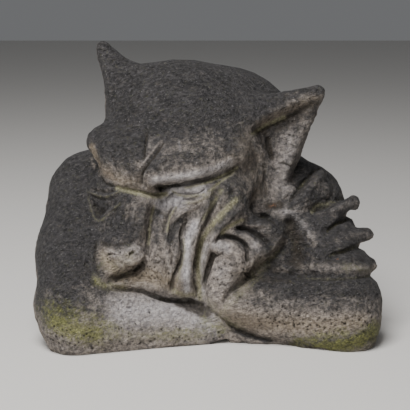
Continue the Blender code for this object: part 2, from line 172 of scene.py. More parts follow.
# Each groove has its points, its half width in steps of the sheet and its depth in
# millimetres. A depth below zero is a raised line.
DEEPEST_CUT = 7.0
HIGHEST_RIDGE = 4.5
GROOVES = [
    # Under the brow, from the far eye to the temple, with the lip standing over it.
    ([(117, 187), (127, 189), (138, 191), (150, 193.5), (160, 194), (168, 190.5)], 1.3, 2.6),
    ([(152, 187.5), (160, 186.5), (172, 186.5), (184, 184.5), (196, 181.5), (212, 178), (226, 174),
      (236, 168)], 1.5, 3.2),
    ([(156, 185.5), (166, 185), (178, 185)], 2.6, 1.6),
    ([(148, 181), (165, 179), (182, 177.5), (198, 174), (214, 169.5), (230, 163)], 3.4, -1.6),
    ([(214, 187), (222, 180), (234, 171.5)], 1.2, 1.8),
    ([(170, 190), (182, 189), (196, 187.5), (206, 184.5)], 3.0, -3.0),
    ([(160, 188), (166, 186), (172, 184)], 1.0, 1.0),
    # The frown between the brows.
    ([(147, 134), (145.5, 146), (144.5, 158)], 1.1, 2.8),
    ([(151, 136), (149.5, 146), (146.5, 157)], 1.8, -0.6),
    ([(161, 140), (152, 153), (143, 164), (137.5, 172), (136, 184)], 1.1, -1.0),
    ([(164, 143), (155, 156), (147, 166), (142, 175), (142, 187)], 1.3, 2.4),
    ([(148, 172), (146, 179), (146, 188)], 1.0, 1.6),
    ([(133, 170), (131, 179), (132, 188)], 1.2, 1.6),
    ([(126, 150), (127, 161), (130, 172)], 1.6, 1.6),
    ([(119, 156), (121, 167), (125, 178)], 1.6, -1.2),
    ([(135, 148), (136, 159), (136, 168)], 1.4, -1.2),
    ([(113, 158), (116, 168), (121, 177)], 1.2, 1.4),
    ([(104, 160), (110, 171), (118, 180)], 1.2, 1.2),
    ([(170, 158), (161, 167), (154, 176)], 1.6, 1.0),
    # Near eye: the shut lids, and the bag below them.
    ([(164, 201), (168, 195.5), (173, 192.3), (181, 193.2), (190, 194), (197, 193.4), (202, 191),
      (206, 187.5)], 1.0, 2.4),
    ([(182, 198.5), (188, 199.3), (194, 197.5), (199, 195)], 1.1, 1.8),
    ([(181, 203), (190, 202.5), (199, 200), (207, 194)], 1.5, -1.8),
    ([(168, 204), (174, 201), (180, 203)], 3.8, -2.4),
    # Creases that run down from the eye bag.
    ([(202, 202), (194, 208), (186, 211.5), (179, 216), (174, 223)], 1.2, -1.8),
    ([(200, 206), (190, 212), (182, 218), (177, 226), (173, 234), (169, 243)], 3.6, 2.2),
    ([(177, 205), (171, 214.5), (168, 226), (166.5, 238), (164.5, 250)], 1.1, -2.2),
    ([(173.5, 206), (168, 214), (164.5, 224), (163, 236)], 1.6, 1.8),
    ([(160, 214), (159, 226), (158, 240)], 4.0, -2.0),
    ([(155, 203), (152, 214), (151, 224)], 1.0, -1.0),
    ([(186, 219), (182.5, 228), (180.2, 239), (182.5, 249), (181, 261), (175, 274), (171, 287)], 1.3, 4.2),
    ([(184, 214), (179, 222), (176, 234), (176.5, 246), (176, 258)], 2.6, -2.0),
    ([(190, 218), (187, 229), (185, 241), (187, 252), (185, 264), (180, 277), (177, 290)], 2.0, -1.8),
    ([(172, 238), (170, 248), (172, 258), (170, 268)], 1.2, 1.8),
    ([(160, 246), (162, 256), (165, 266), (167, 278)], 1.2, 1.4),
    ([(165, 246), (168, 258), (170, 270), (171, 282)], 1.4, -1.4),
    ([(157, 268), (163, 276), (167, 286)], 1.2, -1.0),
    ([(152, 270), (158, 279), (163, 290)], 1.0, 1.2),
    # The long ropes of skin, and the deep grooves between them and beside the fist.
    ([(217, 194), (215, 204), (209, 218), (201.5, 232), (197.5, 244), (195.5, 257), (194.5, 272),
      (195.5, 286), (198, 298)], 1.2, 2.0),
    ([(210, 200), (204, 214), (197, 228), (191.5, 242), (189, 257), (187.5, 272), (188, 286)], 4.2, -3.0),
    ([(206, 207), (203, 216), (197, 230)], 0.9, 1.4),
    ([(211, 208), (207, 218), (200, 229)], 0.9, 1.2),
    ([(195, 238), (191.5, 250), (191, 264)], 0.9, 0.8),
    ([(190, 288), (193, 292), (195, 296)], 3.2, -1.6),
    ([(236, 201), (224, 212), (214, 224), (206, 235), (200.5, 245), (198, 257), (198, 270),
      (199.5, 284), (201.5, 303)], 1.4, 2.0),
    ([(242, 206), (230, 217), (219, 229), (210.5, 242), (205, 256), (202, 270), (201.5, 286)], 3.2, -3.2),
    ([(222, 206), (215, 214), (208, 226)], 2.4, 1.2),
    ([(244, 219), (231, 226), (221, 234), (213.5, 245)], 1.4, 2.4),
    ([(213, 252), (211.5, 260), (208, 270), (205, 281), (203.5, 292)], 2.0, 3.4),
    # Far eye, its lids and the sunk triangle of the far cheek.
    ([(100.5, 176), (104, 182.5), (110, 185.5), (119, 186.5)], 1.0, 2.0),
    ([(102, 172), (107, 180), (114, 183.5)], 1.4, -1.4),
    ([(89, 191), (95, 194.5), (106, 196), (116, 193), (123, 189)], 1.1, -1.4),
    ([(91, 188), (98, 191), (107, 192), (116, 190)], 1.5, 2.0),
    ([(90, 195), (99, 199), (110, 199), (120, 194)], 1.2, 1.4),
    ([(87.5, 197.5), (92, 209), (97.5, 221), (107, 212.5), (116, 206), (124, 197)], 1.2, -1.2),
    ([(93, 203), (99, 213), (110, 205), (117, 199)], 2.4, 1.6),
    ([(121, 200), (116, 210), (108, 218), (101, 224)], 1.8, 1.4),
    # Nose: its side, the rim above its blunt front, nostrils, wing and underside.
    ([(154, 206), (151.5, 218), (149.5, 230), (147.5, 242), (147.5, 256)], 1.6, 3.6),
    ([(97, 239), (103, 241), (110, 245), (118, 247), (126, 243), (134, 237.5), (142, 240)], 2.0, -0.8),
    ([(99, 244), (107, 247), (117, 250), (127, 247.5), (135, 242)], 1.2, 0.8),
    ([(129, 255), (132, 253.2), (134, 252.4)], 1.5, 3.8),
    ([(128, 257), (133, 257), (137, 255)], 1.6, 1.2),
    ([(107.5, 254.3), (111, 254), (115.5, 254.6)], 1.0, 2.4),
    ([(145.5, 256), (142.5, 261), (136, 266), (128, 268)], 1.0, 2.0),
    ([(124, 261), (131, 263.5), (139, 260), (144, 253)], 2.2, -1.8),
    ([(120, 262), (126, 266), (133, 267)], 1.1, 1.1),
    ([(137, 244), (142, 246), (144.5, 252)], 1.1, 1.2),
    ([(122, 205), (121, 216), (119, 228)], 2.6, -1.4),
    ([(115, 208), (112, 218), (110, 228)], 2.2, 1.6),
    ([(131, 204), (129, 214), (128, 224)], 1.8, 1.4),
    ([(142, 204), (139, 216), (137, 228)], 2.6, 1.4),
    ([(136, 206), (133, 216), (132, 228)], 1.6, -1.2),
    # Lip and mouth.
    ([(146.5, 258), (140, 266), (131, 271.5), (122, 276), (113, 282)], 1.6, 1.6),
    ([(150, 264), (143, 272), (133, 278), (124, 282)], 2.6, -1.2),
    ([(154, 258), (158, 256), (161, 259.5), (158, 263.5), (154.5, 262)], 1.0, 1.6),
    ([(139, 277), (146, 276), (153, 280)], 1.1, 1.0),
    ([(136, 283), (145, 283), (154, 288)], 1.2, -0.9),
    ([(97, 240), (95, 252), (96.5, 264), (101, 275)], 1.6, 2.2),
    ([(101, 287), (112, 288), (129, 289.5), (143, 291.5), (155, 296), (170, 300.5), (190, 301),
      (204, 305)], 1.7, 4.0),
    ([(176, 302.5), (190, 305), (204, 310)], 2.2, 1.6),
    ([(174, 288), (173, 294), (176, 298)], 1.0, 1.4),
    ([(184, 290), (184, 296), (186, 299)], 0.9, 1.2),
    # Fist: the hollow beside it, the three curled fingers, their knuckles and the heel of the hand.
    ([(291, 228), (297, 243), (296, 262)], 8, 2.6),
    ([(223, 235.5), (232, 237.5), (240, 240.5), (246, 246), (247.5, 254), (248, 264)], 1.6, 3.4),
    ([(236, 227), (247, 229.5), (258, 235), (269, 243)], 1.6, 3.2),
    ([(251, 221.5), (260, 218.5), (270, 220), (279, 226), (285, 234)], 1.5, 2.4),
    ([(213, 254), (217, 255.8), (223.5, 252.5)], 1.0, 2.2),
    ([(218, 244), (228, 244), (238, 248)], 3.6, -1.8),
    ([(240, 234), (250, 238), (260, 245)], 3.4, -1.8),
    ([(255, 223), (266, 225), (276, 232)], 3.4, -1.6),
    ([(250, 263), (247, 270), (240, 275)], 1.2, 1.2),
    ([(286, 243), (272, 258), (256, 269), (243, 282), (231, 291), (222, 303)], 2.4, 2.0),
    ([(219, 287), (222, 284), (228, 286.5)], 0.9, 1.4),
    ([(219, 259), (226, 258), (232, 261)], 1.2, 1.0),
    # Gripping hand and its fingers on the upper arm.
    ([(321, 167), (309, 177), (298.5, 190), (288, 203)], 1.4, 3.2),
    ([(326, 171), (318, 180), (308, 193)], 3.0, -1.2),
    ([(331, 171), (337, 182), (344, 195)], 1.3, -1.4),
    ([(327, 173), (332, 184), (333, 195), (325, 205)], 1.4, 1.4),
    ([(313, 211), (322, 207.5), (334, 203), (344, 197)], 1.3, 2.4),
    ([(318, 204), (324, 200), (330, 197)], 2.0, 1.0),
    ([(353, 213), (345, 220), (335, 225), (326, 232)], 1.4, 2.8),
    ([(365, 241), (352, 248), (342, 252), (330, 255)], 1.4, 2.8),
    ([(330, 213), (341, 206), (352, 202)], 3.4, -1.8),
    ([(338, 240), (352, 234), (366, 233)], 3.4, -1.8),
    ([(310, 258), (330, 260), (350, 258), (370, 262)], 1.4, 2.0),
    ([(326, 269), (348, 268), (370, 269)], 3.2, -1.2),
    ([(284, 212), (296, 217), (306, 229), (313, 240)], 3.8, -2.2),
    ([(289, 218), (291, 238), (295, 258)], 5.0, 4.2),
    ([(303, 245), (318, 248), (330, 246)], 2.2, 1.0),
    # Where the gripping hand lies on the forearm, and the end of the near forearm.
    ([(241, 273), (260, 276), (300, 278.5), (340, 278.5), (377, 275)], 1.4, 3.0),
    ([(206, 306), (220, 317), (240, 329), (262, 338), (290, 342)], 1.8, 2.2),
    ([(246, 290), (254, 296), (262, 297), (268, 303)], 1.4, 1.2),
    ([(262, 284), (276, 287), (290, 285)], 1.6, 0.9),
    # Near ear: the rim, the slit inside it, its folds, and where it leaves the head.
    ([(256, 133), (266, 126.5), (279, 121), (296, 112), (316, 101)], 2.4, 2.6),
    ([(254, 122), (266, 114), (280, 107), (300, 98)], 4.0, -1.6),
    ([(268, 136), (269, 146), (272, 158)], 1.8, 4.2),
    ([(261, 142), (265, 147), (268, 150)], 1.4, 1.6),
    ([(278, 162.5), (286, 164), (293, 167.5)], 1.0, 1.8),
    ([(252, 142), (256, 156), (259, 170), (262, 186), (264, 200)], 2.0, 1.6),
    ([(260, 150), (261, 158), (263, 166)], 2.8, -2.0),
    ([(266, 170), (265, 184), (267, 198)], 1.6, 1.6),
    ([(276, 170), (277, 184), (274, 195)], 4.5, -1.6),
    ([(281, 148), (284, 138), (288, 130)], 4.5, -1.4),
    ([(267, 204), (274, 203.5), (283, 200), (292, 192)], 1.8, 1.8),
    ([(275, 182), (276, 190), (280, 194)], 0.9, 0.9),
    # Arms: the hollow inside the far elbow, and the low roll above the base.
    ([(84, 262), (92, 272), (96, 284)], 3.0, 2.0),
    ([(88, 252), (93, 262), (102, 280)], 1.6, 1.4),
    ([(44, 338), (70, 346), (110, 346), (160, 341)], 2.6, 0.9),
]

# The back was left plain, with a little modelling: the sides of the spine, the haunches, the
# shoulder blades and the fold of the neck. Here x is to the right and z up, in millimetres.
BACK_GROOVES = [
    ([(-15, 28), (-13, 80), (-11, 130), (-9, 172)], 4.0, 2.4),
    ([(19, 28), (17, 80), (15, 130), (13, 172)], 4.0, 2.4),
    ([(-68, 12), (-72, 56), (-92, 98), (-126, 114), (-160, 104)], 4.0, 3.2),
    ([(70, 12), (74, 56), (94, 98), (126, 112), (160, 100)], 4.0, 3.2),
    ([(-104, 182), (-66, 160), (-48, 124), (-60, 92)], 5.0, 3.0),
    ([(100, 170), (64, 152), (50, 120), (62, 90)], 5.0, 3.0),
    ([(-84, 204), (-44, 190), (2, 185), (48, 190), (86, 202)], 5.0, 3.0),
]


def carved(points, normals):
    """How deep the strokes cut at each point, in metres."""
    sheet = on_sheet(points)
    shown = in_front(points, normals)
    cut = np.zeros(count)
    for line, half_width, depth in GROOVES:
        close, away, along = along_stroke(sheet, line, half_width * 3)
        ends = np.clip(np.minimum(along, 1 - along) * 8, 0.0, 1.0) ** 0.7
        cut[close] += depth * ends * np.exp(-((away / half_width) ** 2))
    cut = np.clip(cut, -HIGHEST_RIDGE, DEEPEST_CUT) * shown
    behind = np.clip(normals[:, 1] * 3 - 0.3, 0.0, 1.0) * (1 - shown)
    for line, half_width, depth in BACK_GROOVES:
        close, away, along = along_stroke(points[:, ::2] * 1000, line, half_width * 3)
        ends = np.clip(np.minimum(along, 1 - along) * 8, 0.0, 1.0)
        cut[close] += depth * ends * np.exp(-((away / half_width) ** 2)) * behind[close]
    return cut * 0.001


# The mix was coarse and the casting has stood outside, so the skin is uneven at every scale.
# Each layer of lumps or wrinkles has how many there are to a metre and how high they stand.
LUMPS = [(24.0, 0.0012), (75.0, 0.0008)]
WRINKLES = [(210.0, 0.0009), (400.0, 0.0005)]

# Pits lie thickest low down on the arms and at the chin. Each stroke has its points, its half
# width and its strength.
PITS = 420
SMALLEST_PIT = 0.0007
WIDEST_PIT = 0.0013
PIT_DEPTH = 0.9
FOOT_HEIGHT = 0.006
GROUND_BAND = 0.0012
PITTED = [
    ([(262, 318), (300, 324), (362, 324)], 9, 1.6),
    ([(262, 300), (366, 306)], 16, 0.4),
    ([(286, 128), (304, 116)], 12, 0.3),
    ([(60, 335), (130, 340), (220, 335)], 12, 0.5),
    ([(118, 262), (108, 250)], 12, 0.5),
    ([(226, 280), (240, 265)], 12, 0.4),
    ([(160, 280), (150, 270)], 12, 0.6),
]

# Here the comb went down the face and not across it.
DOWNWARD = [
    ([(120, 205), (120, 235)], 22, 1.0),
    ([(165, 205), (168, 285)], 22, 1.0),
    ([(210, 200), (196, 290)], 22, 1.0),
    ([(262, 140), (262, 195)], 16, 1.0),
]


def laid_on(sheet, shown, strokes):
    """The strength that broad soft strokes on the sheet leave on the skin."""
    laid = np.zeros(count)
    for line, half_width, strength in strokes:
        close, away, _ = along_stroke(sheet, line, half_width * 2.6)
        touch = strength * np.exp(-((away / half_width) ** 2)) * shown[close]
        laid[close] = np.where(np.abs(touch) > np.abs(laid[close]), touch, laid[close])
    return laid


places = eased(numbers(skin.vertices, "co", 3), 3)
normals = eased(numbers(skin.vertex_normals, "vector", 3), 4)
normals /= np.linalg.norm(normals, axis=1)[:, None]
shown = in_front(places, normals)
places -= normals * carved(places, normals)[:, None]
vectors = [Vector(place) for place in places]
for closeness, rise in LUMPS:
    lumps = np.array([noise.noise(vector * closeness) for vector in vectors])
    places += normals * (lumps * rise)[:, None]
# The modeller's comb left fine wrinkles, across the brows and arms and down the face.
down_face = laid_on(on_sheet(places), shown, DOWNWARD)
smoother = 1 - 0.55 * np.clip(normals[:, 2] * 2 - 0.8, 0, 1)
for closeness, rise in WRINKLES:
    across = np.array([
        noise.noise(Vector((v.x * 0.3 - v.z * 0.15, v.y * 0.6, v.z + v.x * 0.3)) * closeness)
        for v in vectors])
    down = np.array([
        noise.noise(Vector((v.x, v.y * 0.6, v.z * 0.25 + v.x * 0.15)) * closeness)
        for v in vectors])
    combed = across + (down - across) * down_face
    places += normals * (combed * smoother * rise)[:, None]
# Air bubbles against the mould left small holes, most of them where the cement ran in last.
likely = laid_on(on_sheet(places), shown, PITTED) + 0.004 * shown + 0.01
likely *= places[:, 2] > FOOT_HEIGHT
chance = np.random.default_rng(11)
pitted = np.zeros(count)
for centre in chance.choice(count, PITS, replace=False, p=likely / likely.sum()):
    radius = chance.uniform(SMALLEST_PIT, WIDEST_PIT)
    close = np.flatnonzero(np.abs(places[:, 0] - places[centre, 0]) < 3 * radius)
    away = np.linalg.norm(places[close] - places[centre], axis=1)
    dent = np.exp(-((away / radius) ** 2))
    places[close] -= normals[centre] * (dent * radius * PIT_DEPTH)[:, None]
    pitted[close] = np.maximum(pitted[close], dent)
# The underside stays flat on the ground, and nothing stands past the cast form's box.
ground = numbers(skin.vertices, "co", 3)[:, 2] < GROUND_BAND
places[ground, 2] = 0.0
places[:, 2] = np.maximum(places[:, 2], 0.0)
low, high = np.array(cad_box[0]), np.array(cad_box[1])
places = np.clip(places, low, high)
skin.vertices.foreach_set("co", places.ravel())
skin.update()

# What years outside leave, and painted light and shade, as strokes on the sheet: points, half width and
# strength. Soot is a charcoal film on all that faces the sky, and its last number is how black it becomes
# there; low numbers also paint highlights and sheen on lit tops, and full ones paint shade in hollows. In
# the other lists the last number is how much is laid on.
SOOT_AND_LIGHT = [
    ([(130, 90), (200, 80), (250, 110)], 55, 0.97),
    ([(104, 50), (112, 80), (125, 120)], 18, 0.97),
    ([(110, 140), (160, 146), (200, 134), (236, 122)], 24, 0.92),
    # Painted sheen on the brow.
    ([(170, 152), (215, 144)], 14, 0.62),
    ([(110, 150), (136, 148)], 9, 0.92),
    ([(85, 165), (58, 210), (50, 260), (54, 292)], 32, 1.0),
    ([(310, 180), (335, 210), (350, 245), (330, 258)], 26, 0.92),
    ([(255, 290), (310, 290), (374, 292)], 11, 0.9),
    ([(262, 306), (374, 308)], 8, 0.62),
    ([(255, 322), (365, 326)], 12, 0.12),
    ([(300, 346), (340, 344), (377, 330)], 8, 0.8),
    # Painted shadow under the chin.
    ([(160, 300), (184, 304), (204, 311)], 5, 1.0),
    ([(316, 184), (328, 194)], 7, 0.7),
    # Painted highlights on the lit tops of two gripping fingers.
    ([(330, 213), (343, 206), (354, 203)], 3.5, 0.72),
    ([(338, 241), (352, 235), (367, 234)], 3.5, 0.72),
    ([(215, 310), (250, 318)], 12, 0.2),
    ([(246, 295), (268, 300)], 9, 0.5),
    ([(122, 310), (165, 310), (205, 318)], 20, 0.0),
    ([(48, 300), (54, 312)], 14, 0.75),
    ([(60, 336), (110, 338), (160, 336)], 12, 0.25),
    ([(86, 290), (100, 298)], 10, 0.6),
    ([(150, 215), (158, 280)], 24, 0.3),
    ([(205, 205), (190, 285)], 18, 0.3),
    ([(112, 205), (122, 230)], 19, 0.93),
    ([(143, 205), (139, 226)], 7, 0.75),
    ([(128, 206), (126, 218)], 3, 0.55),
    ([(92, 200), (98, 228)], 10, 0.85),
    ([(87, 230), (89, 262)], 7, 1.0),
    ([(110, 254), (112, 268), (124, 264), (137, 254)], 10, 0.0),
    ([(102, 240), (118, 244), (134, 238)], 4.5, 0.85),
    ([(122, 284), (150, 279), (176, 290)], 12, 0.2),
    ([(236, 172), (246, 150), (248, 134)], 14, 0.55),
    ([(252, 180), (258, 204)], 14, 0.58),
    ([(228, 190), (244, 205)], 10, 0.7),
    ([(255, 110), (285, 97), (320, 86)], 6, 0.92),
    ([(262, 124), (282, 112), (306, 100)], 6, 0.4),
    ([(286, 138), (282, 165), (282, 190)], 15, 0.45),
    ([(296, 122), (314, 112)], 9, 0.6),
    ([(260, 150), (262, 165)], 4.5, 0.45),
    ([(165, 170), (200, 166), (224, 156)], 7, 0.6),
    # Painted highlight: the lit brow lip is kept clear of the film.
    ([(150, 182), (164, 179), (184, 177), (206, 172), (230, 162)], 6, 0.0),
    ([(104, 168), (118, 178), (134, 184)], 8, 0.3),
    ([(92, 148), (97, 165)], 4, 0.1),
    ([(139, 168), (140, 187)], 7, 0.45),
    ([(152, 139), (148, 152)], 3, 0.6),
    ([(161, 141), (144, 162), (137, 173)], 1.3, 0.5),
    ([(151, 138), (147.5, 152)], 1.8, 0.6),
    # Painted light: the eyelid and bag are kept clear under the brow's shade.
    ([(172, 190), (202, 189)], 6, 0.0),
    ([(168, 203), (184, 200)], 7, 0.0),
    ([(145, 197), (160, 198)], 5, 0.1),
    ([(158, 212), (156, 240)], 5, 0.8),
    ([(180, 219), (173, 229), (170, 240)], 4, 0.8),
    ([(215, 196), (208, 208), (198, 220)], 7, 0.7),
    ([(197, 222), (190, 238), (187, 256), (187, 292)], 5, 0.05),
    ([(238, 208), (226, 220), (217, 231)], 5, 0.8),
    ([(206, 244), (203, 258), (202, 294)], 4.5, 0.15),
    ([(228, 248), (222, 270), (218, 298)], 14, 0.1),
    ([(230, 264), (236, 267)], 4, 0.5),
    ([(252, 262), (240, 284)], 7, 0.4),
    ([(245, 238), (258, 247)], 5, 0.25),
    ([(266, 228), (278, 238)], 6, 0.6),
    # Painted shade in the grooves between the curled fingers.
    ([(254, 219.5), (268, 219), (281, 228)], 5, 1.0),
    ([(239, 229), (256, 234), (268, 242)], 3, 1.0),
    ([(223, 235.5), (236, 239), (245.5, 245)], 3, 1.0),
    # Painted highlight on the back of the gripping hand, then painted shade in the hollow beside the fist.
    ([(284, 212), (298, 222), (310, 238)], 8, 0.42),
    ([(291, 226), (298, 243), (299, 264)], 10, 1.0),
    ([(276, 262), (262, 278)], 5, 0.9),
    ([(300, 266), (368, 268)], 5, 0.55),
    # Painted shadow along the foot of the near forearm.
    ([(212, 344), (250, 347), (300, 345)], 3.5, 0.8),
]
# Lichen is a yellow-green crust in the creases.
LICHEN = [
    ([(186, 188), (206, 183), (222, 176), (237, 168)], 1.8, 0.75),
    ([(222, 190), (212, 204), (202, 222)], 2.4, 0.5),
    ([(118, 188), (130, 191), (142, 194), (158, 197), (166, 194)], 3.0, 0.85),
    ([(126, 189), (150, 194), (164, 193)], 1.1, 0.9),
    ([(172, 191), (184, 196), (204, 194), (218, 184), (234, 172)], 1.8, 0.6),
    ([(184, 203), (200, 201), (212, 192)], 2.2, 0.5),
    ([(236, 200), (216, 220), (203, 238), (198.5, 258), (198.5, 275), (200, 298)], 3.0, 0.95),
    ([(236, 200), (216, 220), (203, 238), (199, 258), (199, 275), (201, 298)], 5.0, 0.42),
    ([(154, 206), (150, 222), (149, 244)], 1.6, 0.6),
    ([(176, 207), (170, 217), (167, 232)], 1.3, 0.8),
    ([(184, 240), (184, 256), (177, 280)], 1.8, 0.6),
    ([(174, 291), (184, 295), (194, 294)], 3.4, 0.7),
    ([(95, 278), (104, 286), (124, 287)], 4.0, 0.62),
    ([(222, 233), (230, 226), (242, 220)], 2.4, 0.95),
    ([(88, 192), (105, 197), (122, 190)], 1.2, 0.42),
    ([(88, 198), (98, 221), (120, 203)], 1.3, 0.38),
    ([(312, 211), (318, 205), (332, 203)], 2.4, 0.55),
    ([(327, 231), (335, 225), (346, 220), (353, 214)], 1.4, 0.4),
    ([(330, 255), (345, 251), (365, 243)], 1.8, 0.35),
    ([(300, 278.5), (340, 278.5), (375, 275.5)], 1.2, 0.3),
    ([(345, 266), (376, 272)], 5.0, 0.36),
    ([(276, 252), (256, 276), (240, 292), (225, 310)], 6.0, 0.36),
    ([(252, 134), (268, 124), (284, 117)], 2.4, 0.6),
    ([(208, 300), (222, 316), (240, 326)], 5.0, 0.38),
    ([(112, 335), (200, 338)], 6.0, 0.42),
    ([(106, 262), (118, 268), (130, 256)], 10.0, 0.35),
]
# Moss grows at the ground, at both ends of the arms.
MOSS = [
    ([(56, 322), (72, 330), (96, 334)], 12, 0.85),
    ([(50, 312), (110, 330)], 15, 0.5),
    ([(320, 347), (350, 344), (376, 330)], 11, 0.72),
    ([(296, 342), (345, 334)], 8, 0.5),
    ([(205, 322), (222, 328)], 8, 0.5),
    ([(160, 334), (205, 332)], 8, 0.4),
    ([(96, 282), (104, 286)], 5, 0.5),
]
# Ochre is the warm tint of earth on the nose, the chin and the undersides.
OCHRE = [
    ([(106, 256), (112, 266), (130, 262)], 10, 0.8),
    ([(120, 278), (152, 278), (180, 290)], 11, 0.9),
    ([(216, 312), (250, 322), (310, 326), (360, 322)], 10, 0.7),
    ([(240, 285), (262, 268)], 12, 0.6),
    ([(92, 146), (99, 165)], 4, 1.0),
    ([(104, 172), (118, 180), (136, 184)], 6, 0.7),
    ([(262, 126), (290, 112), (316, 98)], 6, 0.6),
    ([(250, 150), (256, 190)], 12, 0.5),
    ([(150, 188), (170, 186)], 3, 0.6),
    ([(230, 165), (244, 140)], 10, 0.4),
]
# Lime is a pale bloom where water runs, and a few white specks. The same list paints highlights on the lit
# brow lip, the cheek ropes and the back of the hand, and keeps the eyelid and bag pale under the brow's
# shade.
LIME_AND_HIGHLIGHTS = [
    ([(122, 312), (170, 310), (205, 320)], 17, 0.72),
    ([(110, 300), (150, 303)], 10, 0.5),
    # Painted highlights: the eyelid and bag under the brow's shade, the lit brow lip and the lit cheek
    # ropes.
    ([(172, 190), (204, 189)], 6, 1.2),
    ([(154, 181), (184, 177), (212, 171), (230, 163)], 5, 0.7),
    ([(162, 203), (180, 201)], 8, 1.2),
    ([(195, 224), (187, 248), (187, 290)], 4.6, 1.1),
    ([(206, 246), (203, 260), (202, 292)], 3.5, 0.6),
    ([(215, 245), (226, 247)], 5, 0.6),
    ([(222, 270), (232, 285)], 10, 0.25),
    ([(254, 243), (258, 250)], 5, 0.5),
    ([(288, 136), (284, 185)], 11, 0.28),
    ([(112, 252), (138, 250), (122, 262)], 7, 0.4),
    # Painted highlight on the back of the gripping hand.
    ([(284, 211), (295, 217), (306, 229)], 7, 0.5),
    ([(108.5, 69), (111, 73)], 0.9, 0.9),
    ([(111, 77), (115, 78)], 1.0, 0.9),
    ([(137, 125), (140, 125)], 0.9, 0.9),
    ([(206, 86), (208, 86)], 0.9, 0.7),
    ([(178.8, 140), (180, 150)], 0.8, 0.9),
    ([(160.5, 216), (161.5, 217)], 1.5, 1.0),
    ([(96, 147), (97, 148)], 0.9, 0.9),
    ([(336.6, 258.7), (338.6, 258.7)], 1.7, 1.0),
]
# Rust marks three small spots.
RUST = [
    ([(270, 206), (275, 205)], 3.0, 0.35),
    ([(336.8, 258.9), (338.6, 258.9)], 1.2, 0.55),
    ([(106, 172), (116, 179)], 4.0, 0.25),
]
# Painted shade, with some dirt: dark paint in the hollows and creases, the nostrils and mouth, under the
# ear rim, the brow and the chin, beside the fist and along the foot, where shade falls.
DIRT_AND_SHADE = [
    ([(147, 134), (145.5, 146), (144.5, 158)], 1.0, 0.9),
    ([(164, 143), (155, 156), (147, 166), (142, 175)], 1.1, 0.8),
    ([(131.6, 253.2), (132.6, 252.0)], 2.1, 0.95),
    ([(107.5, 255.0), (110.5, 254.2)], 1.5, 0.8),
    ([(104, 243), (112, 246), (122, 244), (134, 240)], 2.4, 0.6),
    ([(116, 278), (127, 274)], 3.0, 0.7),
    ([(257, 132), (275, 123.5), (292, 116.5), (316, 103)], 4.0, 0.75),
    ([(262, 136), (278, 129), (296, 120), (314, 109)], 5.0, 0.5),
    ([(244, 134), (250, 160), (258, 195)], 10, 0.4),
    ([(262, 140), (268, 150)], 4, 0.6),
    ([(269, 138), (272, 158)], 2.4, 1.0),
    ([(264, 172), (266, 196)], 2.4, 0.6),
    ([(290, 226), (297, 243), (296, 262)], 9, 0.75),
    ([(112, 279), (128, 277)], 5, 0.7),
    ([(156, 185.5), (180, 185.5)], 1.6, 0.9),
    ([(268, 206), (280, 205)], 5, 0.9),
    ([(250, 278), (290, 281)], 4, 0.5),
    ([(212, 346), (250, 348), (300, 346)], 5, 0.7),
    ([(310, 348), (345, 345), (376, 334)], 8, 0.6),
    ([(160, 299), (184, 303)], 2.2, 1.0),
    ([(178, 303.5), (196, 307)], 4.0, 1.4),
    ([(190, 306), (205, 312)], 6.0, 1.5),
    ([(299, 190), (312, 176)], 3.0, 0.6),
]
# How far the skin lies below its surroundings where a crease begins to show, and where it
# shows in full, in metres. The same goes for a crest above them.
FAINT_HOLLOW = 0.00015
FULL_HOLLOW = 0.0009
HOLLOW_ROUNDS = 14
normals = eased(numbers(skin.vertex_normals, "vector", 3), 2)
normals /= np.linalg.norm(normals, axis=1)[:, None]
sheet = on_sheet(places)
hollow = np.sum((eased(places, HOLLOW_ROUNDS) - places) * normals, axis=1)
upward = normals[:, 2]
height = places[:, 2]
blotches = np.array([noise.noise(vector * 30) + 0.5 * noise.noise(vector * 90) for vector in vectors])


def smooth(low, high, values):
    """From 0 at the low value to 1 at the high one, with soft ends."""
    share = np.clip((values - low) / (high - low), 0.0, 1.0)
    return share * share * (3 - 2 * share)


# Away from the strokes the film is thickest where the skin faces up and stands high.
soot_and_light = 0.25 + 0.65 * smooth(-0.1, 0.75, upward) + 0.2 * smooth(0.06, 0.2, height) + 0.3 * blotches
soot_and_light = np.clip(soot_and_light, 0.0, 1.0)
for line, half_width, level in SOOT_AND_LIGHT:
    close, away, _ = along_stroke(sheet, line, half_width * 2.2)
    soot_and_light[close] += (level - soot_and_light[close]) * np.exp(-((away / half_width) ** 2)) * shown[close]
unseen = 1 - shown
crease = smooth(FAINT_HOLLOW, FULL_HOLLOW, hollow)
crest = smooth(FAINT_HOLLOW, FULL_HOLLOW, -hollow)
lichen = laid_on(sheet, shown, LICHEN) + 0.5 * crease * unseen
moss = laid_on(sheet, shown, MOSS)
moss += unseen * smooth(0.06, 0.02, height) * smooth(-0.6, 0.2, upward) * (0.4 + blotches)
skin_layers = {
    "soot_and_light": soot_and_light,
    "crease": crease,
    "crest": crest,
    "lichen": lichen,
    "moss": moss,
    "ochre": laid_on(sheet, shown, OCHRE) + unseen * smooth(0.1, 0.02, height) * 0.4,
    "lime_and_highlights": laid_on(sheet, shown, LIME_AND_HIGHLIGHTS),
    "dirt_and_shade": laid_on(sheet, shown, DIRT_AND_SHADE),
    "pitted": pitted,
    "rust": laid_on(sheet, shown, RUST),
    "downward": laid_on(sheet, shown, DOWNWARD),
}
for name, values in skin_layers.items():
    attribute = skin.attributes.new(name, "FLOAT", "POINT")
    attribute.data.foreach_set("value", np.clip(values, 0.0, 1.0).astype(np.float32))

